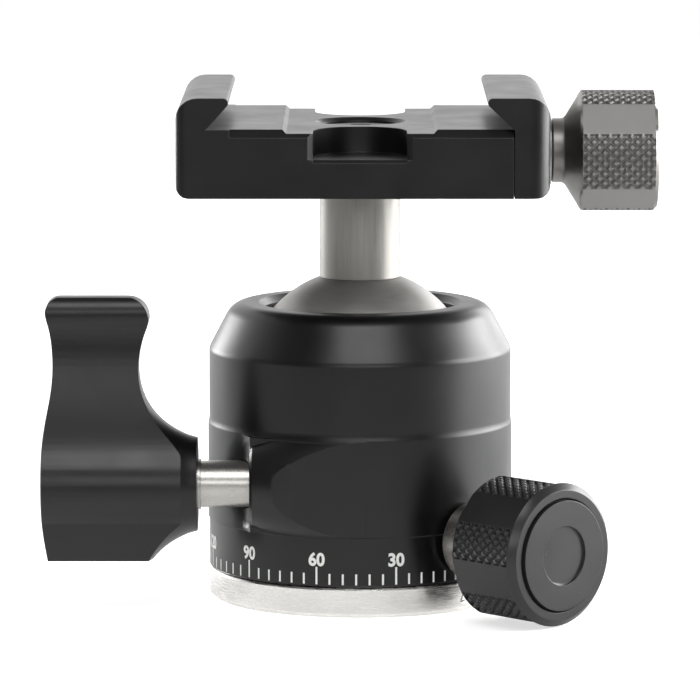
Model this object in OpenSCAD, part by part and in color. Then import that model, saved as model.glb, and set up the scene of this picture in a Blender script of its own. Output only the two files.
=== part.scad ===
// Tripod ball head with a dovetail quick-release clamp, in millimetres.
// Frame: origin at the centre of the base's underside, on the axis of the tripod thread, +Z up.
// The lock shaft points along -X, the clamp knob along +X, and the drop notch opens towards +Y.

/* [Base] */
// Amount by which the base plate's radius is smaller than the housing's
base_inset = 0; // [0:0.1:0.8]
// Thickness of the base plate
base_h = 3.8; // [3.4:0.1:4.2]
// Wall radius of the 3/8 inch tripod thread
tripod_thread_r = 3.97; // [3.9:0.01:4.1]
// Depth of the tripod thread
tripod_thread_len = 8.8; // [7:0.1:9]
// Radius of the hub's spigot in the base plate
hub_spigot_r = 6.5; // [6:0.1:6.8]
// Space around the hub's clamping flange
flange_gap = 3.8; // [3.4:0.1:4.2]
// Width of the clamping flange beyond the hub's neck
flange_w = 2; // [1.8:0.1:2.3]
// Thickness of the hub's clamping flange
hub_flange_h = 3.2; // [2.8:0.1:3.3]
// Distance of the base screws inside the hub's neck
base_screw_inset = 1.7; // [1.6:0.1:1.9]

/* [Housing] */
// Radius of the housing wall
body_r = 19.6; // [19.4:0.1:20]
// Amount by which the middle band stands proud of the wall
band_proud = 0.15; // [0.1:0.05:0.3]
// Height of the band's lower edge
band_low_z = 10.2; // [9.9:0.1:10.4]
// Height of the band's upper edge
band_high_z = 22.6; // [22.3:0.1:23.1]
// Height of the flare above the band
flare_h = 1; // [0.6:0.1:1.4]
// Height of the shoulder bevel
shoulder_h = 5.9; // [5.5:0.1:6.3]
// Width of the shoulder bevel
shoulder_w = 3.1; // [2.8:0.1:3.4]
// Height of the rim above the ball's centre
rim_rise = 10.8; // [10.5:0.1:11.1]
// Amount by which the mouth's radius is smaller than the ball's
mouth_inset = 1.8; // [1.4:0.1:1.9]
// Thickness of the wall beside the ball
wall_t = 3.65; // [3.5:0.05:3.7]
// Thickness of the wall around the threaded bore at the bottom
bottom_wall_t = 2.8; // [2.6:0.1:3]
// Width added to the stem's radius in the drop notch
notch_gap = 0.35; // [0.3:0.05:0.6]

/* [Ball and stem] */
// Space for the liner between the ball and the wall
liner_t = 0.95; // [0.95:0.05:1.05]
// Gap between the ball and the floor of its cavity
ball_floor_gap = 1.9; // [1.7:0.1:2]
// Radius of the stem
stem_r = 5.25; // [5:0.05:5.4]
// Radius of the stem's spigot in the ball
stem_spigot_r = 4; // [3.6:0.1:4.2]
// Amount by which the lower cup's radius is smaller than the ball's
cup_inset = 4.6; // [4.5:0.1:4.8]

/* [Main lock] */
// Distance of the lock shaft's axis inside the ball's front
lock_inset = 2; // [1.8:0.05:2.1]
// Height of the lock shaft's axis
lock_z = 16.3; // [16.2:0.05:16.5]
// Radius of the lock shaft
lock_shaft_r = 3; // [2.8:0.05:3.1]
// Distance of the boss's end wall from the body axis
boss_end_x = 14.1; // [13.8:0.1:14.4]
// Radius of the boss at its end wall
boss_end_r = 5.6; // [5.4:0.1:5.8]
// Largest radius of the boss about the lock shaft
boss_mid_r = 9.4; // [9.2:0.1:9.6]
// Radius of the fillet beside the boss's end wall
boss_fillet_r = 4; // [3.5:0.1:4.5]
// Distance of the lever's collar face from the body axis
lever_face_x = 20.8; // [20.4:0.1:21.2]
// Radius of the lever's collar
lever_collar_r = 6; // [5.8:0.1:6.2]
// Radius reached by the lever's arm
lever_arm_r = 24.2; // [23:0.1:24.4]
// Distance from the shaft to the lever's tail
lever_tail = 9.35; // [9.2:0.05:9.6]

/* [Pan lock] */
// Turn of the pan lock from the front, towards +X, in degrees
pan_turn = 43.6; // [42:0.1:45]
// Height of the pan lock's axis
pan_z = 9.3; // [9.25:0.05:9.5]
// Radius of the pan knob
pan_knob_r = 9.1; // [8.6:0.05:9.2]
// Distance of the pan knob's inner face from the body axis
pan_knob_in = 25.5; // [25:0.1:26]
// Length of the pan knob
pan_knob_len = 11.4; // [10.5:0.1:12]
// Radius of the pan screw's bright collar
pan_collar_r = 4.85; // [4.5:0.05:5]

/* [Clamp] */
// Height of the clamp's underside above the ball's centre
clamp_rise = 26.1; // [25.9:0.1:26.4]
// Thickness of the clamp up to the raised strips of its deck
deck_t = 8.7; // [8.5:0.1:8.9]
// Height of the jaws above the deck
jaw_h = 4; // [3.8:0.1:4.4]
// Depth of the clamp from front to back
clamp_depth = 39; // [36:0.5:42]
// Distance of the fixed jaw's outer face from the middle
fixed_jaw_x = 23.3; // [22.9:0.1:23.8]
// Distance of the moving jaw's outer face from the middle
moving_jaw_x = 24.1; // [23.9:0.1:24.3]
// Half of the dovetail's width at its root
root_x = 19.45; // [19.3:0.05:19.6]
// Distance of the fixed jaw's lip from the middle
fixed_lip_x = 16.6; // [16.4:0.05:16.8]
// Distance of the moving jaw's lip from the middle
moving_lip_x = 16.1; // [15.9:0.05:16.3]
// Radius of the counterbore for the clamp bolt
counterbore_r = 5.45; // [5.2:0.05:5.5]
// Half of the width of the scalloped reliefs
scallop_r = 5.95; // [5.6:0.05:6.2]
// Height of the clamp knob's axis above the clamp's underside
clamp_knob_rise = 4.4; // [4.3:0.05:4.6]
// Radius of the clamp knob
clamp_knob_r = 7.8; // [7.4:0.05:8]
// Distance of the clamp knob's end from the middle
clamp_knob_end_x = 38.4; // [38:0.1:40]
// Travel of the moving jaw
jaw_travel = 3.6; // [3:0.1:3.7]

/* [Hidden] */
$fn = 96;

black = "#1b1b1d";
steel = "#c9c9c6";
titanium = "#8d8c88";
brass = "#b08d4a";
polymer = "#e8e4d8";

eps = 0.01;
face_gap = 0.1;     // between housing and base plate, and between jaw and clamp
run_gap = 0.05;     // radial gap of a running fit
far = 60;           // longer than anything that it cuts

// radii that follow the body's
base_r = body_r - base_inset;
band_r = body_r + band_proud;
rim_r = body_r - shoulder_w;
cavity_r = body_r - wall_t;
lower_bore_r = body_r - bottom_wall_t;
ball_r = cavity_r - liner_t;
mouth_r = ball_r - mouth_inset;
cup_r = ball_r - cup_inset;
lock_y = ball_r - lock_inset;
hub_flange_r = lower_bore_r - flange_gap;
hub_neck_r = hub_flange_r - flange_w;
base_screw_circle_r = hub_neck_r - base_screw_inset;

// heights inside the base and housing
body_z = base_h + face_gap;
ring_h = 1.8;
ring_top_z = body_z + 0.1 + ring_h;
friction_h = 0.4;
flange_z = ring_top_z + friction_h + run_gap;
flange_top_z = flange_z + hub_flange_h;
floor_z = flange_top_z + 0.2;
floor_h = 0.95;
cavity_z = floor_z + floor_h;
ball_z = cavity_z + ball_floor_gap + ball_r;
rim_z = ball_z + rim_rise;
shoulder_z = rim_z - shoulder_h;
plateau_y = band_r;                       // the flat front of the boss touches the band's cylinder

// ball, liner and mouth
seat_r = ball_r + run_gap;
liner_r = cavity_r - run_gap;
liner_low_z = ball_z - 0.8;
liner_high_z = ball_z + 6.4;
lip_clear = 0.1;
lip_r = mouth_r - 0.8;
ball_top_z = ball_z + sqrt(pow(ball_r, 2) - pow(stem_r, 2));
stem_low_z = ball_top_z + run_gap;
stem_spigot_low_z = stem_low_z - 8;
notch_r = stem_r + notch_gap;

// lower cup
cup_low_z = cavity_z + 0.3;
cup_flat_r = 7.5;
cup_hole_r = 4.5;
cup_flank_z = cup_low_z + 2.2;
cup_high_z = cup_low_z + 5;

// lock shaft and wedge
bush_wall = 1.2;
bush_r = lock_shaft_r + bush_wall;
bush_out_x = boss_end_x - 1.1;
bush_in_x = bush_out_x - 3.5;
nose_x = 9.3;
nose_tip_x = 5.6;
nose_tip_r = 1.5;
nose_gap = 0.4;
wedge_left_x = nose_tip_x - nose_gap;
wedge_right_x = 5;
wedge_gap = 0.5;
wedge_top_z = lock_z + 1.6;
wedge_foot_z = cup_flank_z + 0.1;
wedge_in_y = cup_r - 2.5;
wedge_back_y = lock_y + 2.6;
lever_bore_end_x = 34;
lever_end_x = 40.8;

// pan lock
plug_r = 2.4;
plug_out = body_r - 3.4;
pan_bush_r = 3.4;
pan_bush_in = plug_out + 0.1;
pan_thread_r = 2.5;
pan_tip_in = plug_out + 0.25;
pan_collar_in = band_r + 0.35;
pan_core_end = pan_knob_in + 7.5;
pan_end = pan_knob_in + pan_knob_len;
cap_r = 7;
cap_h = 2.6;
cap_rise = 0.4;

// clamp
clamp_z = ball_z + clamp_rise;
deck_z = clamp_z + deck_t;
jaw_top_z = deck_z + jaw_h;
clamp_knob_z = clamp_z + clamp_knob_rise;
half_depth = clamp_depth / 2;
deck_step_x = 9.3;
deck_step = 0.5;
counterbore_z = clamp_z + 3.8;
scallop_z = clamp_z + 4.9;
scallop_depth = 11;
clamp_split_x = root_x - run_gap;
jaw_in_x = clamp_split_x + face_gap;
bolt_r = 2.5;
bolt_head_r = 4.4;
bolt_head_h = 3.8;
bolt_low_z = clamp_z - 8.5;
pin_r = 0.75;
pin_circle_r = 3.9;
pin_len = 2.4;
stud_r = 2.5;
stud_in_x = 7;
stud_out_x = 33;
guide_r = 1.5;
guide_y = 12;
guide_in_x = 10;
spring_y = 7;
spring_r = 1.9;
spring_in_x = 12.5;
washer_r = 4.4;
washer_h = 0.6;
knob_in_x = moving_jaw_x + washer_h + face_gap;
knob_neck_r = 4.15;
knob_body_x = clamp_knob_end_x - 10.1;
knob_neck_len = 1.2;
chamfer = 0.5;

// points of an arc about c, from angle a0 to angle a1
function arc(c, r, a0, a1, n = 6) =
    [for (i = [0:n]) let (a = a0 + (a1 - a0) * i / n) c + r * [cos(a), sin(a)]];

function unit(v) = v / norm(v);

// points of the round corner of radius r that a line from a makes at b on its way to c
function corner(a, b, c, r, n = 5) = let (
    u = unit(a - b),
    v = unit(c - b),
    half = acos(u * v) / 2,
    middle = b + unit(u + v) * r / sin(half),
    p = b + u * r / tan(half) - middle,
    q = b + v * r / tan(half) - middle,
    turn = atan2(p[1], p[0]),
    step = atan2(p[0] * q[1] - p[1] * q[0], p * q) / n
) [for (i = [0:n]) middle + r * [cos(turn + i * step), sin(turn + i * step)]];

// turns a profile of [radius, x] about the X axis
module lathe_x() rotate([0, 90, 0]) rotate_extrude() children();

// extrudes an outline of [y, z] along X, from x0 to x1
module bar_x(x0, x1) translate([x0, 0, 0]) rotate([90, 0, 90]) linear_extrude(x1 - x0) children();

// extrudes an outline of [x, z] along Y, from y0 to y1
module bar_y(y0, y1) translate([0, y1, 0]) rotate([90, 0, 0]) linear_extrude(y1 - y0) children();

// puts a child that lies along +X onto the lock shaft's axis
module on_lock_axis() translate([0, -lock_y, lock_z]) children();

// puts a child that lies along +X onto the pan lock's axis
module on_pan_axis() translate([0, 0, pan_z]) rotate([0, 0, pan_turn - 90]) children();

// a round bar along X
module rod_x(r, x0, x1) translate([x0, 0, 0]) rotate([0, 90, 0]) cylinder(h = x1 - x0, r = r);

// a flat ring
module ring(r_out, r_in, z0, z1) difference() {
    translate([0, 0, z0]) cylinder(h = z1 - z0, r = r_out);
    translate([0, 0, z0 - 1]) cylinder(h = z1 - z0 + 2, r = r_in);
}

// ---------------------------------------------------------------- base

module base_plate() color(steel) difference() {
    rotate_extrude() polygon([
        [0, 0], [base_r - chamfer, 0], [base_r, chamfer],
        [base_r, base_h - 0.25], [base_r - 0.25, base_h], [0, base_h]
    ]);
    translate([0, 0, -1]) cylinder(h = base_h + 2, r = hub_spigot_r);
    base_screw_places() {
        translate([0, 0, -1]) cylinder(h = base_h + 2, r = 1.3);
        translate([0, 0, -eps]) cylinder(h = 1.3, r1 = 2.4, r2 = 1.3);
    }
}

module base_screw_places() for (i = [0:3]) rotate([0, 0, 45 + 90 * i])
    translate([base_screw_circle_r, 0, 0]) children();

module base_screws() color(steel) base_screw_places() difference() {
    union() {
        translate([0, 0, 0.1]) cylinder(h = 1.1, r1 = 2.2, r2 = 1.25);
        translate([0, 0, 0.1]) cylinder(h = base_h + 2.4, r = 1.25);
    }
    translate([0, 0, -1]) cylinder(h = 1.9, r = 0.9, $fn = 6);
}

module pan_hub() color(steel) difference() {
    union() {
        cylinder(h = base_h, r = hub_spigot_r);
        translate([0, 0, base_h]) cylinder(h = flange_z - base_h, r = hub_neck_r);
        translate([0, 0, flange_z]) cylinder(h = hub_flange_h, r = hub_flange_r);
    }
    translate([0, 0, -1]) cylinder(h = tripod_thread_len + 1, r = tripod_thread_r);
    base_screw_places() translate([0, 0, base_h - 1]) cylinder(h = 3.6, r = 1.25);
}

module pan_friction_ring() color(polymer)
    ring(hub_flange_r - 0.2, hub_neck_r + 0.15, ring_top_z, ring_top_z + friction_h);

// ---------------------------------------------------------------- housing

// the turned outline of the housing, as [radius, height]
function housing_outline() = let (
    flare_r = (pow(flare_h, 2) + pow(band_proud, 2)) / (2 * band_proud),
    flare_angle = asin(flare_h / flare_r)
) concat(
    [[0, body_z], [body_r - 0.2, body_z], [body_r, body_z + 0.2], [body_r, band_low_z]],
    [[band_r, band_low_z + band_proud], [band_r, band_high_z]],
    arc([body_r + flare_r, band_high_z + flare_h], flare_r, 180 + flare_angle, 180, 4),
    corner([body_r, body_z], [body_r, shoulder_z], [rim_r, rim_z], 1.6, 3),
    corner([body_r, shoulder_z], [rim_r, rim_z], [0, rim_z], 2.8, 8),
    [[0, rim_z]]
);

// the boss for the lock shaft: turned about the shaft, cut flat in front and at the band's edges
module shaft_boss() {
    dome_drop = boss_mid_r - boss_end_r;
    dome_len = boss_end_x + 3.2;
    dome_r = (pow(dome_len, 2) + pow(dome_drop, 2)) / (2 * dome_drop);
    dome_angle = asin(dome_len / dome_r);
    intersection() {
        on_lock_axis() lathe_x() polygon(concat(
            [[0, 3.2], [0, -boss_end_x], [boss_end_r - 0.35, -boss_end_x]],
            arc([boss_mid_r - dome_r, 3.2], dome_r, -dome_angle * 0.98, 0, 14)
        ));
        translate([-far, -plateau_y, band_low_z + band_proud])
            cube([far + 0.8, plateau_y - 4, band_high_z - band_low_z - band_proud]);
    }
}

// the concave corner between the band and the boss's end wall, with a round end above and below
module boss_corner() {
    fillet_x = -boss_end_x - boss_fillet_r;
    fillet_y = -sqrt(pow(band_r + boss_fillet_r, 2) - pow(fillet_x, 2));
    touch = [fillet_x, fillet_y] * band_r / (band_r + boss_fillet_r);
    ramp_x = 3.2 - boss_end_x;
    ramp = [ramp_x, -sqrt(pow(band_r, 2) - pow(ramp_x, 2)) + 0.15];
    pocket_h = 6.2;
    end_r = 1.4;
    difference() {
        translate([0, 0, band_low_z + band_proud]) linear_extrude(band_high_z - band_low_z - band_proud)
            polygon([
                [-boss_end_x + 0.05, fillet_y], ramp, ramp + [0, 1],
                [-boss_end_x + 0.1, -12], touch + [0.3, 0], touch
            ]);
        translate([fillet_x, fillet_y, lock_z]) rotate_extrude() polygon(concat(
            [[0, -pocket_h]], arc([boss_fillet_r - end_r, end_r - pocket_h], end_r, -90, 0),
            arc([boss_fillet_r - end_r, pocket_h - end_r], end_r, 0, 90), [[0, pocket_h]]
        ));
    }
}

module drop_notch() {
    translate([0, 0, ball_z]) rotate([-90, 0, 0]) translate([0, 0, ball_r - 6])
        cylinder(h = far, r = notch_r);
    translate([-notch_r, ball_r - 6, ball_z]) cube([2 * notch_r, far, far]);
}

module housing() color(black) difference() {
    union() {
        rotate_extrude() polygon(housing_outline());
        shaft_boss();
        boss_corner();
    }
    // bottom bore, cavity and liner seat
    translate([0, 0, -1]) cylinder(h = cavity_z + 1, r = lower_bore_r);
    translate([0, 0, 1]) cylinder(h = liner_high_z - 1, r = cavity_r);
    // mouth, down to the lip that holds the ball
    translate([0, 0, ball_z]) sphere(r = ball_r + lip_clear);
    rotate_extrude() polygon([
        [0, ball_z], [lip_r, ball_z], [lip_r, rim_z + lip_r - mouth_r],
        [mouth_r + 0.3, rim_z + 0.3], [0, rim_z + 0.3]
    ]);
    drop_notch();
    // lock shaft, bush and wedge
    on_lock_axis() rod_x(lock_shaft_r + 0.15, -far, -4);
    on_lock_axis() rod_x(bush_r, -bush_out_x, -4);
    translate([-wedge_left_x - 0.8, -wedge_back_y - 0.3, cavity_z - eps])
        cube([wedge_left_x + wedge_right_x + 1.6, 8, wedge_top_z + 0.5 - cavity_z]);
    // pan lock
    on_pan_axis() rod_x(plug_r + run_gap, 5, pan_bush_in + eps);
    on_pan_axis() rod_x(pan_bush_r, pan_bush_in, far);
    // grub screw of the retaining ring
    rotate([0, 0, 90]) translate([0, 0, body_z + 1.4]) rod_x(1.25, lower_bore_r - 1, far);
}

module retaining_ring() color(steel) difference() {
    ring(lower_bore_r, hub_neck_r + 0.1, ring_top_z - ring_h, ring_top_z);
    for (i = [0:1]) rotate([0, 0, 180 * i]) translate([lower_bore_r - 2.3, 0, 0])
        cylinder(h = ring_top_z - 0.8, r = 0.9);
}

module ring_grub_screw() color(steel) rotate([0, 0, 90]) translate([0, 0, body_z + 1.4]) difference() {
    rod_x(1.25, lower_bore_r + eps, lower_bore_r + 2.4);
    translate([lower_bore_r + 1.2, 0, 0]) rotate([0, 90, 0]) cylinder(h = 5, r = 0.75, $fn = 6);
}

module floor_plate() color(steel) difference() {
    ring(lower_bore_r, 4, floor_z, cavity_z);
    on_pan_axis() rod_x(plug_r + run_gap, 5, far);
    on_pan_axis() rod_x(pan_bush_r + run_gap, plug_out - 0.1, far);
}

module top_liner() color(polymer) difference() {
    translate([0, 0, liner_low_z]) cylinder(h = liner_high_z - liner_low_z, r = cavity_r);
    translate([0, 0, ball_z]) sphere(r = seat_r);
    translate([0, 0, liner_low_z - 1]) cylinder(h = ball_z - liner_low_z + 1, r = seat_r);
    translate([0, 0, ball_z]) cylinder(h = far, r = lip_r + 0.6);
    drop_notch();
}

module shaft_bush() color(brass) on_lock_axis() difference() {
    rod_x(bush_r, -bush_out_x, -bush_in_x);
    rod_x(lock_shaft_r + run_gap, -far, far);
}

module pan_bush() color(brass) on_pan_axis() difference() {
    rod_x(pan_bush_r, pan_bush_in + eps, body_r - 0.5);
    rod_x(pan_thread_r + run_gap, 0, far);
}

// ---------------------------------------------------------------- main lock

module lock_shaft() color(steel) on_lock_axis() {
    lathe_x() polygon([
        [0, -lever_bore_end_x], [lock_shaft_r, -lever_bore_end_x],
        [lock_shaft_r, -lever_face_x], [lock_shaft_r + 0.25, -lever_face_x],
        [lock_shaft_r + 0.25, -lever_face_x + 0.4], [lock_shaft_r, -lever_face_x + 0.4],
        [lock_shaft_r, -nose_x], [nose_tip_r, -nose_tip_x], [0, -nose_tip_x]
    ]);
}

// points of a cubic curve from p to s, drawn towards q and r
function curve(p, q, r, s, n = 8) = [for (i = [0:n]) let (t = i / n, u = 1 - t)
    u * u * u * p + 3 * u * u * t * q + 3 * u * t * t * r + t * t * t * s];

// the lever's turned outline, as [radius, x]: the outer face first, then the side towards the body
function lever_outline() = let (
    out = -lever_end_x,
    face = -lever_face_x,
    out_r = 1.8,
    in_r = 2.7,
    tip_out = [lever_arm_r - out_r, out + 0.7 + out_r],
    tip_in = [lever_arm_r - in_r, face - 6.1 - in_r],
    waist = [15.3, out + 1.6],
    tip_start = tip_out + out_r * [cos(-104), sin(-104)],
    tip_end = tip_in + in_r * [cos(112), sin(112)],
    neck = [lever_collar_r + 0.35, face - 1.2]
) concat(
    [[0, out]],
    curve([3, out], [8, out], [11, out + 1.6], waist, 12),
    curve(waist, waist + [2.7, 0], tip_start - 2.2 * [0.97, -0.242], tip_start, 8),
    arc(tip_out, out_r, -90, 0, 7),
    arc(tip_in, in_r, 0, 95, 9),
    curve(tip_end, tip_end - 8.3 * [0.927, 0.375], neck + 5 * [0.37, -0.93], neck, 18),
    [[lever_collar_r, face], [0, face]]
);

// the lever's section, as [y, z] about the shaft: rolled tip, hollow sides, round hub, flat tail
module lever_section() {
    hub_r = 6.7;
    hub_end = 36;
    roll_r = 2.5;
    roll_start = -35;
    roll = [0, lever_arm_r - roll_r + 0.3];
    hub_top = hub_r * [cos(hub_end), sin(hub_end)];
    roll_low = roll + roll_r * [cos(roll_start), sin(roll_start)];
    side = concat(
        [[4.3, -lever_tail], [4.75, -lever_tail + 2.6]], arc([0, 0], hub_r, -42, hub_end, 13),
        curve(hub_top, hub_top + 3.2 * [-sin(hub_end), cos(hub_end)],
            roll_low - 3 * [-sin(roll_start), cos(roll_start)], roll_low, 20),
        arc(roll, roll_r, roll_start + 10, 90, 10)
    );
    polygon(concat(side, [for (i = [len(side) - 1:-1:0]) [-side[i][0] - eps, side[i][1]]]));
}

module lock_lever() color(black) difference() {
    on_lock_axis() intersection() {
        lathe_x() polygon(lever_outline());
        bar_x(-lever_end_x - 1, -lever_face_x + 1) lever_section();
    }
    on_lock_axis() rod_x(lock_shaft_r, -lever_bore_end_x, 0);
    lever_screw_place() translate([0, 0, -1]) cylinder(h = lever_tail, r = 1.5);
}

module lever_screw_place() on_lock_axis() translate([-lever_bore_end_x + 4, 0, -lever_tail]) children();

module lever_set_screw() color(steel) lever_screw_place() difference() {
    translate([0, 0, 0.6]) cylinder(h = lever_tail - lock_shaft_r - 0.6, r = 1.5);
    translate([0, 0, -1]) cylinder(h = 3.2, r = 0.87, $fn = 6);
}

module lock_wedge() color(brass) difference() {
    union() {
        bar_x(-wedge_left_x, wedge_right_x) polygon([
            [-lock_y - 1.4, cavity_z + run_gap], [-wedge_in_y, cavity_z + run_gap],
            [-wedge_in_y, cavity_z + 0.35], [-cup_r - 0.3, wedge_foot_z - 0.35],
            [-cup_r - 0.5, wedge_foot_z], [-lock_y - 1.4, wedge_foot_z]
        ]);
        bar_x(-wedge_left_x, -wedge_left_x + 2.6) translate([-wedge_back_y, cavity_z + run_gap])
            square([wedge_back_y - cup_r - wedge_gap, wedge_top_z - cavity_z - run_gap]);
    }
    translate([0, 0, ball_z]) sphere(r = ball_r + 0.3);
}

// ---------------------------------------------------------------- pan lock

module pan_screw() color(steel) on_pan_axis() lathe_x() polygon([
    [0, pan_tip_in], [pan_thread_r, pan_tip_in], [pan_thread_r, pan_collar_in],
    [pan_collar_r - 0.25, pan_collar_in], [pan_collar_r, pan_collar_in + 0.25],
    [pan_collar_r, pan_knob_in], [pan_thread_r, pan_knob_in],
    [pan_thread_r, pan_core_end], [0, pan_core_end]
]);

// flats cut along a round knob whose axis is X
module knob_flats(r, count, turn, half_angle, x0, x1) for (i = [0:count - 1])
    rotate([turn + 360 / count * i, 0, 0])
        translate([x0, -r, r * cos(half_angle)]) cube([x1 - x0, 2 * r, r]);

module pan_knob() color(black) on_pan_axis() difference() {
    lathe_x() polygon([
        [0, pan_knob_in], [pan_knob_r - 1.2, pan_knob_in], [pan_knob_r, pan_knob_in + 0.9],
        [pan_knob_r, pan_end - 0.8], [pan_knob_r - 0.8, pan_end],
        [cap_r + 0.3, pan_end], [cap_r, pan_end - 0.3], [0, pan_end - 0.3]
    ]);
    rod_x(pan_thread_r, 0, pan_core_end);
    rod_x(cap_r, pan_end + cap_rise - cap_h, far);
    knob_flats(pan_knob_r, 6, 48.5, 15, pan_knob_in - 1, pan_end - 0.9);
}

module pan_knob_cap() color(black) on_pan_axis() difference() {
    rod_x(cap_r, pan_end + cap_rise - cap_h, pan_end + cap_rise);
    rod_x(3.75, pan_end + cap_rise - 0.35, far);
}

module pan_brake_plug() color(brass) on_pan_axis() difference() {
    rod_x(plug_r, hub_flange_r - 1, plug_out);
    translate([0, 0, -far / 2]) cylinder(h = far, r = hub_flange_r + run_gap);
}

// ---------------------------------------------------------------- ball and stem

module lower_cup() color(polymer) difference() {
    rotate_extrude() polygon([
        [cup_hole_r, cup_low_z], [cup_flat_r, cup_low_z], [cup_r, cup_flank_z],
        [cup_r, cup_high_z], [cup_hole_r, cup_high_z]
    ]);
    translate([0, 0, ball_z]) sphere(r = seat_r);
}

module ball() color(titanium) difference() {
    translate([0, 0, ball_z]) sphere(r = ball_r);
    translate([-far / 2, -far / 2, ball_top_z]) cube(far);
    translate([0, 0, stem_spigot_low_z - 0.2]) cylinder(h = far, r = stem_spigot_r + run_gap);
}

module stem() color(steel) difference() {
    rotate_extrude() polygon([
        [0, stem_spigot_low_z], [stem_spigot_r, stem_spigot_low_z], [stem_spigot_r, stem_low_z],
        [stem_r, stem_low_z], [stem_r, clamp_z], [0, clamp_z]
    ]);
    translate([0, 0, bolt_low_z]) cylinder(h = far, r = bolt_r);
    anti_twist_places() translate([0, 0, clamp_z - pin_len]) cylinder(h = far, r = pin_r);
}

module anti_twist_places() for (side = [-1, 1]) translate([0, side * pin_circle_r, 0]) children();

module anti_twist_pins() color(steel) anti_twist_places()
    translate([0, 0, clamp_z - pin_len]) cylinder(h = 2 * pin_len, r = pin_r);

module clamp_bolt() color(black) difference() {
    union() {
        translate([0, 0, bolt_low_z]) cylinder(h = counterbore_z - bolt_low_z + 1, r = bolt_r);
        translate([0, 0, counterbore_z]) cylinder(h = bolt_head_h, r = bolt_head_r);
    }
    translate([0, 0, counterbore_z + bolt_head_h - 2.6]) cylinder(h = 4, r = 2.3, $fn = 6);
}

// ---------------------------------------------------------------- clamp

// the clamp's outline seen from above, with round outer corners
module clamp_plan(left_r, right_r) {
    x0 = -fixed_jaw_x;
    x1 = moving_jaw_x;
    polygon(concat(
        arc([x1 - right_r, half_depth - right_r], right_r, 0, 90),
        arc([x0 + left_r, half_depth - left_r], left_r, 90, 180),
        arc([x0 + left_r, -half_depth + left_r], left_r, 180, 270),
        arc([x1 - right_r, -half_depth + right_r], right_r, 270, 360)
    ));
}

// the outer side and lip of a jaw, as [x, z] for a jaw on the +X side
function jaw_outline(outer_x, in_x, lip_x) = concat(
    [[in_x, clamp_z]], arc([outer_x - 1.6, clamp_z + 1.6], 1.6, -90, 0, 4),
    arc([outer_x - 2.8, jaw_top_z - 2.8], 2.8, 0, 90, 6),
    arc([lip_x + 0.6, jaw_top_z - 0.6], 0.6, 90, 219, 5),
    [[root_x, deck_z], [in_x, deck_z]]
);

module deck_outline() polygon([
    [-root_x - eps, clamp_z], [clamp_split_x, clamp_z], [clamp_split_x, deck_z],
    [deck_step_x + deck_step, deck_z], [deck_step_x, deck_z - deck_step],
    [-deck_step_x, deck_z - deck_step], [-deck_step_x - deck_step, deck_z], [-root_x - eps, deck_z]
]);

// the chamfer along the deck's front or back edge, from the left run-out to the split
module deck_chamfer() bar_x(-deck_step_x - 7.2, far) polygon([
    [-half_depth - 1, deck_z - 2], [-half_depth, deck_z - 1], [-half_depth + 1.6, deck_z + 0.6],
    [-half_depth - 1, deck_z + 0.6]
]);

module scallop() {
    translate([0, -half_depth + scallop_depth - scallop_r, scallop_z]) cylinder(h = far, r = scallop_r);
    translate([-scallop_r, -far, scallop_z])
        cube([2 * scallop_r, far - half_depth + scallop_depth - scallop_r, far]);
    // small bevels along its floor's front edge and its two upright edges
    bar_x(-scallop_r, scallop_r) polygon([
        [-half_depth - 1, scallop_z - 1.4],
        [-half_depth + 0.5, scallop_z + 0.1],
        [-half_depth - 1, scallop_z + 0.1]
    ]);
    translate([0, -half_depth, scallop_z]) linear_extrude(far) polygon([
        [-scallop_r, 0.7], [-scallop_r - 1.7, -1], [scallop_r + 1.7, -1], [scallop_r, 0.7]
    ]);
}

module clamp_body() color(black) difference() {
    intersection() {
        union() {
            bar_y(-half_depth, half_depth) mirror([1, 0])
                polygon(jaw_outline(fixed_jaw_x, root_x, fixed_lip_x));
            bar_y(-half_depth, half_depth) deck_outline();
        }
        linear_extrude(far * 2) clamp_plan(1.3, 0.01);
    }
    for (side = [0, 1]) mirror([0, side, 0]) {
        deck_chamfer();
        scallop();
    }
    translate([0, 0, counterbore_z]) cylinder(h = far, r = counterbore_r);
    translate([0, 0, deck_z - deck_step - 0.5]) cylinder(h = 1, r1 = counterbore_r, r2 = counterbore_r + 1);
    translate([0, 0, clamp_z - 1]) cylinder(h = far, r = bolt_r + 0.1);
    anti_twist_places() translate([0, 0, clamp_z - 1]) cylinder(h = pin_len + 1, r = pin_r);
    translate([0, 0, clamp_knob_z]) {
        rod_x(stud_r, stud_in_x, far);
        for (side = [-1, 1]) {
            translate([0, side * guide_y, 0]) rod_x(guide_r + run_gap, guide_in_x - 0.5, far);
            translate([0, side * spring_y, 0]) rod_x(spring_r + 0.1, spring_in_x, far);
        }
    }
}

module clamp_stud() color(steel) translate([0, 0, clamp_knob_z]) rod_x(stud_r, stud_in_x, stud_out_x);

module jaw_springs() color(steel) translate([0, 0, clamp_knob_z])
    for (side = [-1, 1]) translate([0, side * spring_y, 0]) difference() {
        rod_x(spring_r, spring_in_x, clamp_split_x);
        rod_x(spring_r - 0.5, 0, far);
    }

module moving_jaw() color(black) difference() {
    intersection() {
        bar_y(-half_depth, half_depth) polygon(jaw_outline(moving_jaw_x, jaw_in_x, moving_lip_x));
        linear_extrude(far * 2) clamp_plan(0.01, 3);
    }
    translate([0, 0, clamp_knob_z]) {
        rod_x(stud_r + 0.2, 0, far);
        for (side = [-1, 1]) translate([0, side * guide_y, 0]) rod_x(guide_r, 0, moving_jaw_x - 1.5);
    }
}

module guide_pins() color(steel) translate([0, 0, clamp_knob_z])
    for (side = [-1, 1]) translate([0, side * guide_y, 0]) rod_x(guide_r, guide_in_x, moving_jaw_x - 1.5);

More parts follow.
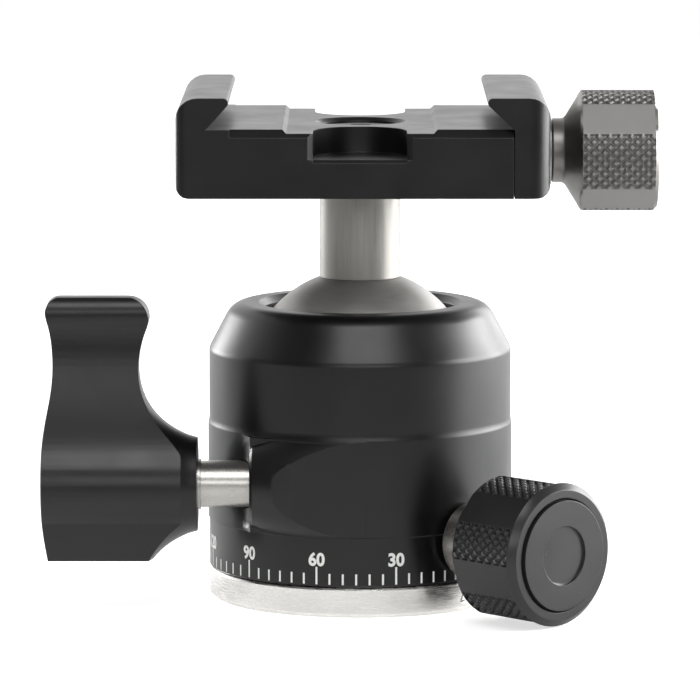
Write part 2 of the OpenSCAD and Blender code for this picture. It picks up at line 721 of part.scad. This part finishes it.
module knob_washer() color(steel) translate([0, 0, clamp_knob_z]) difference() {
    rod_x(washer_r, moving_jaw_x, moving_jaw_x + washer_h);
    rod_x(stud_r + 0.2, 0, far);
}

module clamp_knob() color(titanium) translate([0, 0, clamp_knob_z]) difference() {
    lathe_x() polygon(concat(
        [[0, knob_in_x], [knob_neck_r, knob_in_x], [knob_neck_r, knob_in_x + knob_neck_len]],
        arc([knob_neck_r + 0.8, knob_in_x + knob_neck_len], 0.8, 180, 115, 3),
        [[clamp_knob_r - 0.4, knob_body_x], [clamp_knob_r, knob_body_x + 0.3]],
        [[clamp_knob_r, clamp_knob_end_x - chamfer], [clamp_knob_r - chamfer, clamp_knob_end_x]],
        [[0, clamp_knob_end_x]]
    ));
    rod_x(stud_r + run_gap, 0, stud_out_x + 4);
    knob_flats(clamp_knob_r, 4, 52.5, 17.5, knob_body_x - 0.35, far);
}

base_plate();
base_screws();
pan_hub();
pan_friction_ring();
housing();
retaining_ring();
ring_grub_screw();
floor_plate();
top_liner();
shaft_bush();
pan_bush();
lock_shaft();
lock_lever();
lever_set_screw();
lock_wedge();
pan_screw();
pan_knob();
pan_knob_cap();
pan_brake_plug();
lower_cup();
ball();
stem();
clamp_bolt();
anti_twist_pins();
clamp_body();
clamp_stud();
jaw_springs();
moving_jaw();
guide_pins();
knob_washer();
clamp_knob();
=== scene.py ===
import math

import bmesh
import bpy
from mathutils import Matrix, Vector


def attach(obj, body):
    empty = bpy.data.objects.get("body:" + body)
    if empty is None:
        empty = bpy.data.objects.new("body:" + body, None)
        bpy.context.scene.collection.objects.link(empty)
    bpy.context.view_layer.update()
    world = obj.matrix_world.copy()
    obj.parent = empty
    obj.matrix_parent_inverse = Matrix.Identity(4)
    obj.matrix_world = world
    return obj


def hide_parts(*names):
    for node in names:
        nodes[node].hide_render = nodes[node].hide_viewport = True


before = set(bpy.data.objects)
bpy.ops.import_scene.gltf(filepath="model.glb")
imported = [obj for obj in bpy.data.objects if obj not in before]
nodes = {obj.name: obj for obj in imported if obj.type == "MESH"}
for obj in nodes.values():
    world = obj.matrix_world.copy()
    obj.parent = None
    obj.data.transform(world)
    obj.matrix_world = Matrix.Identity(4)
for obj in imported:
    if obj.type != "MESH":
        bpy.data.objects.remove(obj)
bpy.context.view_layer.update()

MM = 0.001
scene = bpy.context.scene
scene.view_settings.view_transform = "Standard"


# ------------------------------------------------------------------ sizes, in mm, the same as in part.scad

BODY_R = 19.6
BASE_R = 19.6
PAN_TURN = 43.6
PAN_Z = 9.3
PAN_KNOB_R = 9.1
PAN_KNOB_IN = 25.5
PAN_END = 36.9
PAN_THREAD_R = 2.5
PAN_KNURL_END = 36.0
PAN_FLATS = dict(count=6, turn=48.5, half=15, start=0, end=PAN_KNURL_END)
CAP_R = 7.0
CAP_SEAT = 34.7
CLAMP_KNOB_Z = 58.0
CLAMP_KNOB_R = 7.8
KNOB_IN = 24.8
KNOB_BODY = 28.3
KNOB_END = 38.4
KNOB_NECK_R = 4.15
KNOB_NECK_END = 26.0
KNOB_BORE_R = 2.55
KNOB_FLAT_START = 27.95
CLAMP_FLATS = dict(count=4, turn=52.5, half=17.5, start=KNOB_FLAT_START, end=99)


# ------------------------------------------------------------------ camera

IMAGE_PX = 700
FOCAL_PX = 5425
CAMERA_DISTANCE = 0.700
CAMERA_HEIGHT = 0.1223
TARGET = Vector((-0.0013, 0, 0.0319))
SENSOR_MM = 36


def make_camera():
    data = bpy.data.cameras.new("camera")
    data.sensor_width = SENSOR_MM
    data.lens = FOCAL_PX / IMAGE_PX * SENSOR_MM
    data.clip_start = 0.05
    data.clip_end = 20
    camera = bpy.data.objects.new("camera", data)
    scene.collection.objects.link(camera)
    camera.location = (0, -CAMERA_DISTANCE, CAMERA_HEIGHT)
    camera.rotation_euler = (TARGET - camera.location).to_track_quat("-Z", "Y").to_euler()
    scene.camera = camera


make_camera()


# ------------------------------------------------------------------ shader helpers

class Shader:
    """A node tree with short calls for its nodes."""

    def __init__(self, tree):
        self.tree = tree

    def node(self, kind, settings=None, **inputs):
        node = self.tree.nodes.new(kind)
        for key, value in (settings or {}).items():
            setattr(node, key, value)
        for key, value in inputs.items():
            self.put(node, key.replace("_", " "), value)
        return node

    def put(self, node, key, value):
        socket = node.inputs[int(key)] if key.isdigit() else node.inputs[key]
        if isinstance(value, bpy.types.NodeSocket):
            self.tree.links.new(value, socket)
        else:
            socket.default_value = value

    def math(self, operation, a, b=None):
        node = self.tree.nodes.new("ShaderNodeMath")
        node.operation = operation
        self.put(node, "0", a)
        if b is not None:
            self.put(node, "1", b)
        return node.outputs[0]

    def remap(self, value, low, high, to_low, to_high, smooth=False):
        node = self.tree.nodes.new("ShaderNodeMapRange")
        if smooth:
            node.interpolation_type = "SMOOTHSTEP"
        for key, number in zip(("Value", "From Min", "From Max", "To Min", "To Max"),
                               (value, low, high, to_low, to_high)):
            self.put(node, key, number)
        return node.outputs["Result"]

    def noise(self, scale, stretch=(1, 1, 1), detail=2.0, roughness=0.5):
        place = self.node("ShaderNodeTexCoord").outputs["Object"]
        mapping = self.node("ShaderNodeMapping", Vector=place)
        mapping.inputs["Scale"].default_value = stretch
        return self.node("ShaderNodeTexNoise", Vector=mapping.outputs[0], Scale=scale,
                         Detail=detail, Roughness=roughness).outputs["Fac"]

    def mix_color(self, factor, a, b):
        node = self.tree.nodes.new("ShaderNodeMix")
        node.data_type = "RGBA"
        self.put(node, "0", factor)
        for index, color in ((6, a), (7, b)):
            node.inputs[index].default_value = (*color, 1)
        return node.outputs[2]


# ------------------------------------------------------------------ light, floor and backdrop

AIM = (0, 0, 0.03)         # the middle of the object, in metres
FLOOR_DROP = 0.00002       # keeps the floor clear of the base's lower face
PAINTED_SHADE_AHEAD = (-0.36, 0.10)  # place and tone of the painted shade on the floor far in front
PAINTED_LIGHT_NEAR = (-0.05, 0.9)   # place and tone of the painted light on the floor near the object
PAINTED_FALLOFF_SKEW = 0.25           # how much further back the painted light's falloff lies on the right than on the left
GLOW = 0.38                # the floor's own light close to the base
GLOW_X = -0.03             # its middle
GLOW_FULL, GLOW_END = 0.035, 0.065


def area_light(name, place, size, radiance):
    """A soft box aimed at the object, whose face is `radiance` times as bright as white."""
    data = bpy.data.lights.new(name, "AREA")
    data.shape = "RECTANGLE"
    data.size, data.size_y = size
    data.energy = radiance * size[0] * size[1] * math.pi
    lamp = bpy.data.objects.new(name, data)
    lamp.location = place
    lamp.rotation_euler = (Vector(AIM) - Vector(place)).to_track_quat("-Z", "Y").to_euler()
    scene.collection.objects.link(lamp)


def make_world():
    """A studio that is dim in front and bright behind, and plain white to the camera."""
    world = bpy.data.worlds.new("studio")
    scene.world = world
    world.use_nodes = True
    shader = Shader(world.node_tree)
    world.node_tree.nodes.clear()
    way = shader.node("ShaderNodeTexCoord").outputs["Generated"]
    parts = shader.node("ShaderNodeSeparateXYZ", Vector=way).outputs
    behind = shader.remap(parts["Y"], -0.5, 0.6, 0.13, 1.2, smooth=True)
    overhead = shader.remap(parts["Z"], 0.45, 0.9, 1, 0.3, smooth=True)
    light = shader.node("ShaderNodeBackground", Strength=shader.math("MULTIPLY", behind, overhead))
    white = shader.node("ShaderNodeBackground")
    for background in (light, white):
        background.inputs["Color"].default_value = (1, 1, 1, 1)
    seen = shader.node("ShaderNodeLightPath").outputs["Is Camera Ray"]
    mix = shader.node("ShaderNodeMixShader")
    world.node_tree.links.new(seen, mix.inputs[0])
    world.node_tree.links.new(light.outputs[0], mix.inputs[1])
    world.node_tree.links.new(white.outputs[0], mix.inputs[2])
    out = shader.node("ShaderNodeOutputWorld")
    world.node_tree.links.new(mix.outputs[0], out.inputs["Surface"])


def make_floor():
    """A pale floor with painted light: pale near the object and painted shade far in front, glowing softly
    close to the base, white for the camera.
    """
    bpy.ops.mesh.primitive_plane_add(size=6, location=(0, 0, -FLOOR_DROP))
    floor = bpy.context.object
    floor.name = "floor"
    material = bpy.data.materials.new("floor")
    material.use_nodes = True
    tree = material.node_tree
    tree.nodes.clear()
    shader = Shader(tree)
    place = shader.node("ShaderNodeTexCoord").outputs["Object"]
    parts = shader.node("ShaderNodeSeparateXYZ", Vector=place).outputs
    # the floor's colour is painted light: a pale pool near the object that falls off to painted shade far in
    # front
    ahead = shader.math("SUBTRACT", parts["Y"], shader.math("MULTIPLY", parts["X"], PAINTED_FALLOFF_SKEW))
    tone = shader.remap(ahead, PAINTED_SHADE_AHEAD[0], PAINTED_LIGHT_NEAR[0], PAINTED_SHADE_AHEAD[1], PAINTED_LIGHT_NEAR[1], smooth=True)
    grey = shader.node("ShaderNodeCombineColor", Red=tone, Green=tone, Blue=tone).outputs[0]
    matt = shader.node("ShaderNodeBsdfDiffuse", Color=grey)
    aside = shader.math("ADD", parts["X"], -GLOW_X)
    reach = shader.math("SQRT", shader.math("ADD", shader.math("MULTIPLY", aside, aside),
                                            shader.math("MULTIPLY", parts["Y"], parts["Y"])))
    bounce = shader.node("ShaderNodeEmission",
                         Strength=shader.remap(reach, GLOW_FULL, GLOW_END, GLOW, 0, smooth=True))
    lit = shader.node("ShaderNodeAddShader")
    tree.links.new(matt.outputs[0], lit.inputs[0])
    tree.links.new(bounce.outputs[0], lit.inputs[1])
    white = shader.node("ShaderNodeBsdfDiffuse")
    white.inputs["Color"].default_value = (0.86, 0.86, 0.86, 1)
    glow = shader.node("ShaderNodeEmission", Strength=0.62)
    lifted = shader.node("ShaderNodeAddShader")
    tree.links.new(white.outputs[0], lifted.inputs[0])
    tree.links.new(glow.outputs[0], lifted.inputs[1])
    path = shader.node("ShaderNodeLightPath").outputs
    seen = shader.math("MAXIMUM", path["Is Camera Ray"], path["Is Transmission Ray"])
    mix = shader.node("ShaderNodeMixShader")
    tree.links.new(seen, mix.inputs[0])
    tree.links.new(lit.outputs[0], mix.inputs[1])
    tree.links.new(lifted.outputs[0], mix.inputs[2])
    out = shader.node("ShaderNodeOutputMaterial")
    tree.links.new(mix.outputs[0], out.inputs["Surface"])
    floor.data.materials.append(material)


make_world()
make_floor()
area_light("right_box", (0.60, 0.16, 0.16), (0.66, 0.4), 9.5)
area_light("left_box", (-0.46, 0.46, 0.10), (0.34, 0.24), 6.5)
area_light("low_front_box", (0.06, -0.90, 0.27), (0.80, 0.20), 3.0)
area_light("high_front_box", (0.04, -0.39, 0.54), (0.46, 0.26), 4.5)
area_light("right_back_box", (0.35, 0.55, 0.16), (0.35, 0.35), 3.0)


# ------------------------------------------------------------------ materials

def surface(name, color, metallic, roughness, **settings):
    """A Principled material; settings are its other sockets. Returns the material, Shader and BSDF."""
    material = bpy.data.materials.new(name)
    material.use_nodes = True
    shader = Shader(material.node_tree)
    bsdf = material.node_tree.nodes["Principled BSDF"]
    bsdf.inputs["Base Color"].default_value = (*color, 1)
    bsdf.inputs["Metallic"].default_value = metallic
    bsdf.inputs["Roughness"].default_value = roughness
    for key, value in settings.items():
        bsdf.inputs[key.replace("_", " ")].default_value = value
    return material, shader, bsdf


EDGE_SOFT = 0.14           # radius of the light-catching break on every edge


def add_bump(shader, bsdf, height, strength, distance_mm):
    soft_edge = shader.node("ShaderNodeBevel", {"samples": 4}, Radius=EDGE_SOFT * MM).outputs["Normal"]
    bump = shader.node("ShaderNodeBump", Height=height, Strength=strength, Distance=distance_mm * MM,
                       Normal=soft_edge)
    shader.put(bsdf, "Normal", bump.outputs["Normal"])


def satin_black(name, color, roughness, grain_mm=0.09):
    """Anodised aluminium: bead-blast grain, soft cloudiness in the gloss and in the dye."""
    material, shader, bsdf = surface(name, color, 0, roughness, Specular_IOR_Level=0.5)
    grain = shader.noise(1 / (grain_mm * MM), detail=1.5)
    clouds = shader.noise(1 / (6 * MM), detail=3)
    shader.put(bsdf, "Roughness", shader.remap(clouds, 0.3, 0.7, roughness - 0.03, roughness + 0.04))
    lighter = tuple(1.5 * part for part in color)
    shader.put(bsdf, "Base Color", shader.mix_color(shader.remap(grain, 0.35, 0.7, 0, 1), color, lighter))
    add_bump(shader, bsdf, grain, 0.25, 0.012)
    return material


def turned_metal(name, color, roughness, stretch, line_mm, depth=0.3, dull=(0.08, 0.12), metallic=1):
    """Metal with tool marks: noise stretched along the marks varies gloss, tone and height."""
    material, shader, bsdf = surface(name, color, metallic, roughness)
    lines = shader.noise(1 / (line_mm * MM), stretch, detail=3, roughness=0.6)
    clouds = shader.noise(1 / (5 * MM), detail=2)
    gloss = shader.remap(lines, 0.3, 0.7, roughness - dull[0], roughness + dull[1])
    shader.put(bsdf, "Roughness", gloss)
    darker = tuple(0.82 * part for part in color)
    tone = shader.math("ADD", shader.remap(lines, 0.35, 0.65, 0, 0.7),
                       shader.remap(clouds, 0.3, 0.7, 0, 0.3))
    shader.put(bsdf, "Base Color", shader.mix_color(tone, darker, color))
    add_bump(shader, bsdf, lines, depth, 0.02)
    return material


MATERIALS = {
    "black_anodised": satin_black("black_anodised", (0.0022, 0.0022, 0.0026), 0.33),
    "black_knurled": satin_black("black_knurled", (0.014, 0.014, 0.015), 0.30),
    "black_steel": satin_black("black_steel", (0.015, 0.015, 0.016), 0.3),
    "turned_silver": turned_metal("turned_silver", (0.94, 0.925, 0.895), 0.24, (0.05, 0.05, 1), 0.12),
    "steel": turned_metal("steel", (0.62, 0.61, 0.58), 0.32, (1, 1, 0.2), 0.2),
    "bright_steel": turned_metal("bright_steel", (0.56, 0.545, 0.515), 0.3, (1, 0.3, 0.3), 0.1, 0.06,
                                 (0.04, 0.05)),
    "stem_steel": turned_metal("stem_steel", (0.40, 0.385, 0.36), 0.36, (1, 1, 0.02), 0.16, 0.2,
                               metallic=0.55),
    "grey_ball": turned_metal("grey_ball", (0.41, 0.40, 0.385), 0.42, (0.05, 0.05, 1), 0.14, 0.2,
                              metallic=0.6),
    "titanium_knurled": turned_metal("titanium_knurled", (0.28, 0.273, 0.265), 0.40, (1, 1, 1), 0.12, 0.15),
    "brass": turned_metal("brass", (0.70, 0.52, 0.26), 0.34, (1, 1, 0.2), 0.2),
    "polymer": satin_black("polymer", (0.55, 0.53, 0.48), 0.5, 0.3),
}


# ------------------------------------------------------------------ the CAD nodes' finish

def round_edges(node, width_mm, angle=32):
    """Welds the mesh and rounds its sharp edges, or splits them at a width of 0; facets shade smooth."""
    for face in node.data.polygons:
        face.use_smooth = True
    weld = node.modifiers.new("weld", "WELD")
    weld.merge_threshold = 0.002 * MM
    if width_mm:
        bevel = node.modifiers.new("bevel", "BEVEL")
        bevel.limit_method = "ANGLE"
        bevel.angle_limit = math.radians(angle)
        bevel.width = width_mm * MM
        bevel.segments = 2
        bevel.use_clamp_overlap = True
        bevel.miter_outer = "MITER_ARC"
    else:
        split = node.modifiers.new("split", "EDGE_SPLIT")
        split.split_angle = math.radians(angle)
    normals = node.modifiers.new("normals", "WEIGHTED_NORMAL")
    normals.mode = "FACE_AREA_WITH_ANGLE"
    normals.keep_sharp = True


# widths in mm, 0 for edges that are only split, such as the housing's, whose boss a bevel spoils
EDGE_ROUND = {
    "housing": 0, "clamp_body": 0.25, "moving_jaw": 0.25, "lock_lever": 0,
    "base_plate": 0, "pan_knob_cap": 0.15, "clamp_bolt": 0.15, "knob_washer": 0.08,
}

OWN_FINISH = {"stem": "stem_steel", "pan_knob_cap": "black_knurled"}

for name, node in nodes.items():
    slot = node.material_slots[0].material.name if node.material_slots else "steel"
    finish = MATERIALS[OWN_FINISH.get(name, slot.split(".")[0])]
    node.data.materials.clear()
    node.data.materials.append(finish)
    if name in EDGE_ROUND:
        round_edges(node, EDGE_ROUND[name])


# ------------------------------------------------------------------ mesh helpers

def new_piece(name, mesh, material, body):
    piece = bpy.data.objects.new(name, mesh)
    scene.collection.objects.link(piece)
    mesh.materials.clear()
    mesh.materials.append(MATERIALS[material] if isinstance(material, str) else material)
    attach(piece, body)
    return piece


def on_pan_axis(point):
    """Takes a point of a piece that lies along +X to the pan lock's axis."""
    turn = Matrix.Rotation(math.radians(PAN_TURN - 90), 3, "Z")
    return turn @ Vector(point) + Vector((0, 0, PAN_Z))


def on_clamp_axis(point):
    return Vector(point) + Vector((0, 0, CLAMP_KNOB_Z))


# ------------------------------------------------------------------ knurled knobs

KNURL_PITCH = 1.4          # distance from diamond to diamond, along the knob and around it
KNURL_STEPS = 12           # mesh steps in one pitch
CLAMP_KNURL = (0.34, 0.5)  # depth in mm and slope, as in knurl_drop
PAN_KNURL = (0.4, 0.6)


def knurl_drop(around, along, depth, slope):
    """Depth of the diamond knurl at a place, both coordinates in pitches.

    The grooves are `depth` deep, and slope is the share of a diamond's half width that they take.
    """
    off_groove = min(1 - abs(2 * (way % 1) - 1) for way in (around + along, around - along))
    return depth * (1 - min(1, off_groove / slope))


def flat_limit(angle, radius, flats):
    """Radius at which the nearest flat cuts the round at this angle, in degrees."""
    step = 360 / flats["count"]
    off = (angle - flats["turn"] + step / 2) % step - step / 2
    return radius * math.cos(math.radians(flats["half"])) / math.cos(math.radians(off))


def make_knob(name, radius, outline, knurl_from, knurl_to, knurl, flats, place):
    """A knob turned along +X from an outline of (x, radius), knurled between two x but not on its flats."""
    around = round(2 * math.pi * radius / KNURL_PITCH)
    sides = around * KNURL_STEPS
    rings = [(x, r, False) for x, r in outline if x <= knurl_from]
    rows = round((knurl_to - knurl_from) / KNURL_PITCH * KNURL_STEPS)
    rings += [(knurl_from + (knurl_to - knurl_from) * i / rows, radius, True) for i in range(rows + 1)]
    rings += [(x, r, False) for x, r in outline if x >= knurl_to]
    mesh = bmesh.new()
    grid = []
    for x, r, knurled in rings:
        ring = []
        for i in range(sides):
            turn = 360 * i / sides
            flat = flat_limit(turn, radius, flats) if flats["start"] <= x <= flats["end"] else radius
            here = min(r, flat)
            if knurled and flat >= radius:
                here -= knurl_drop(i / KNURL_STEPS, (x - knurl_from) / KNURL_PITCH, *knurl)
            # a turn of 0 points to +Z, and turns go towards -Y, as part.scad's flats do
            side = math.radians(turn)
            point = place((x, -here * math.sin(side), here * math.cos(side)))
            ring.append(mesh.verts.new(point * MM))
        grid.append(ring)
    for low, high in zip(grid, grid[1:]):
        for i in range(sides):
            j = (i + 1) % sides
            mesh.faces.new((low[i], low[j], high[j], high[i]))
    for ring in (grid[0], grid[-1]):
        mesh.faces.new(ring)
    bmesh.ops.recalc_face_normals(mesh, faces=mesh.faces[:])
    data = bpy.data.meshes.new(name)
    mesh.to_mesh(data)
    mesh.free()
    return data


def shade_by_angle(data, angle=25):
    """Smooth faces, with hard edges where two faces meet at more than this angle."""
    for face in data.polygons:
        face.use_smooth = True
    mesh = bmesh.new()
    mesh.from_mesh(data)
    for edge in mesh.edges:
        edge.smooth = len(edge.link_faces) == 2 and edge.calc_face_angle(0) < math.radians(angle)
    mesh.to_mesh(data)
    mesh.free()


def make_clamp_knob():
    outline = [
        (KNOB_IN, KNOB_BORE_R), (KNOB_IN, KNOB_NECK_R - 0.15), (KNOB_IN + 0.15, KNOB_NECK_R),
        (KNOB_NECK_END, KNOB_NECK_R), (KNOB_NECK_END + 0.35, KNOB_NECK_R + 0.12),
        (KNOB_NECK_END + 0.62, KNOB_NECK_R + 0.45),
        (KNOB_FLAT_START, 6.75), (KNOB_BODY, 7.4), (KNOB_BODY + 0.3, CLAMP_KNOB_R),
        (KNOB_END - 0.5, CLAMP_KNOB_R), (KNOB_END - 0.1, CLAMP_KNOB_R - 0.4),
        (KNOB_END, CLAMP_KNOB_R - 0.55), (KNOB_END, 4.2), (KNOB_END - 0.25, 4.0), (KNOB_END - 0.25, 0.2),
    ]
    data = make_knob("knurled_clamp_knob", CLAMP_KNOB_R, outline, KNOB_BODY + 0.3, KNOB_END - 0.5,
                     CLAMP_KNURL, CLAMP_FLATS, on_clamp_axis)
    shade_by_angle(data)
    piece = new_piece("knurled_clamp_knob", data, "titanium_knurled", "clamp_knob")
    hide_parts("clamp_knob")


def make_pan_knob():
    outline = [
        (PAN_KNOB_IN, PAN_THREAD_R), (PAN_KNOB_IN, PAN_KNOB_R - 1.2), (PAN_KNOB_IN + 0.8, PAN_KNOB_R - 0.15),
        (PAN_KNOB_IN + 1.0, PAN_KNOB_R),
        (PAN_KNURL_END, PAN_KNOB_R), (PAN_KNURL_END + 0.02, PAN_KNOB_R), (PAN_END - 0.8, PAN_KNOB_R),
        (PAN_END - 0.08, PAN_KNOB_R - 0.72),
        (PAN_END, PAN_KNOB_R - 0.85), (PAN_END, CAP_R + 0.3), (PAN_END - 0.3, CAP_R + 0.02),
        (CAP_SEAT, CAP_R + 0.02), (CAP_SEAT, 0.2),
    ]
    data = make_knob("knurled_pan_knob", PAN_KNOB_R, outline, PAN_KNOB_IN + 1.0, PAN_KNURL_END,
                     PAN_KNURL, PAN_FLATS, on_pan_axis)
    shade_by_angle(data)
    piece = new_piece("knurled_pan_knob", data, "black_knurled", "pan_knob")
    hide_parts("pan_knob")


make_clamp_knob()
make_pan_knob()


# ------------------------------------------------------------------ degree scale

TICK_LOW = 4.25
MAJOR_TICK = 2.26
MINOR_TICK = 1.4
TICK_WIDTH = 0.26
DIGIT_LOW = 6.68
DIGIT_HEIGHT = 1.6
PRINT_PROUD = 0.012
TICK_STEP = 5              # degrees
MAJOR_STEP = 30
DIGIT_BOLD = 0.085         # how far the digits' outlines are moved outwards
DIGIT_WIDTH = 0.94         # their width as a share of the font's own
CAP_SHARE = 0.7            # height of a digit as a share of the font's size


def print_material(name, color, roughness):
    material, shader, bsdf = surface(name, color, 0, roughness)
    wear = shader.noise(1 / (0.12 * MM), detail=2)
    dull = tuple(0.82 * part for part in color)
    shader.put(bsdf, "Base Color", shader.mix_color(shader.remap(wear, 0.25, 0.5, 0, 1), dull, color))
    return material


white_print = print_material("white_print", (0.86, 0.86, 0.84), 0.5)
black_print = print_material("black_print", (0.012, 0.012, 0.012), 0.5)


def wrap(points, radius, turn):
    """Bends flat points (x to the right, y up) round the body; turn is from the front, towards +X."""
    for x, y in points:
        side = math.radians(turn) + x / radius
        yield Vector((radius * math.sin(side), -radius * math.cos(side), y)) * MM


def add_strip(mesh, points, radius, turn):
    mesh.faces.new([mesh.verts.new(point) for point in wrap(points, radius, turn)])


def add_box(mesh, x0, x1, y0, y1, radius, turn):
    add_strip(mesh, [(x0, y0), (x1, y0), (x1, y1), (x0, y1)], radius, turn)


def add_text(mesh, text, height, low, radius, turn):
    curve = bpy.data.curves.new("digits", "FONT")
    curve.body = text
    curve.align_x = "CENTER"
    curve.size = height / CAP_SHARE
    curve.offset = DIGIT_BOLD
    curve.resolution_u = 4
    holder = bpy.data.objects.new("digits", curve)
    scene.collection.objects.link(holder)
    flat = bpy.data.meshes.new_from_object(holder.evaluated_get(bpy.context.evaluated_depsgraph_get()))
    bpy.data.objects.remove(holder)
    verts = [mesh.verts.new(point) for point in
             wrap([(DIGIT_WIDTH * v.co.x, low + v.co.y) for v in flat.vertices], radius, turn)]
    for face in flat.polygons:
        mesh.faces.new([verts[i] for i in face.vertices])


def make_scale():
    mesh = bmesh.new()
    radius = BODY_R + PRINT_PROUD
    for degree in range(0, 360, TICK_STEP):
        major = degree % MAJOR_STEP == 0
        tick = MAJOR_TICK if major else MINOR_TICK
        add_box(mesh, -TICK_WIDTH / 2, TICK_WIDTH / 2, TICK_LOW, TICK_LOW + tick, radius, PAN_TURN - degree)
        if major:
            add_text(mesh, str(degree), DIGIT_HEIGHT, DIGIT_LOW, radius, PAN_TURN - degree)
    data = bpy.data.meshes.new("degree_scale")
    mesh.to_mesh(data)
    mesh.free()
    new_piece("degree_scale", data, white_print, "housing")


def make_index_mark():
    """The outlined triangle on the base plate that the scale is read against."""
    top, low, half, line = 3.45, 1.25, 0.95, 0.17
    outer = [(0, top), (half, low), (-half, low)]
    inner = [(0, top - 2.4 * line), (half - 1.35 * line, low + line), (-half + 1.35 * line, low + line)]
    mesh = bmesh.new()
    for i in range(3):
        j = (i + 1) % 3
        add_strip(mesh, [outer[i], outer[j], inner[j], inner[i]], BASE_R + PRINT_PROUD, PAN_TURN)
    data = bpy.data.meshes.new("index_mark")
    mesh.to_mesh(data)
    mesh.free()
    new_piece("index_mark", data, black_print, "base")


make_scale()
make_index_mark()
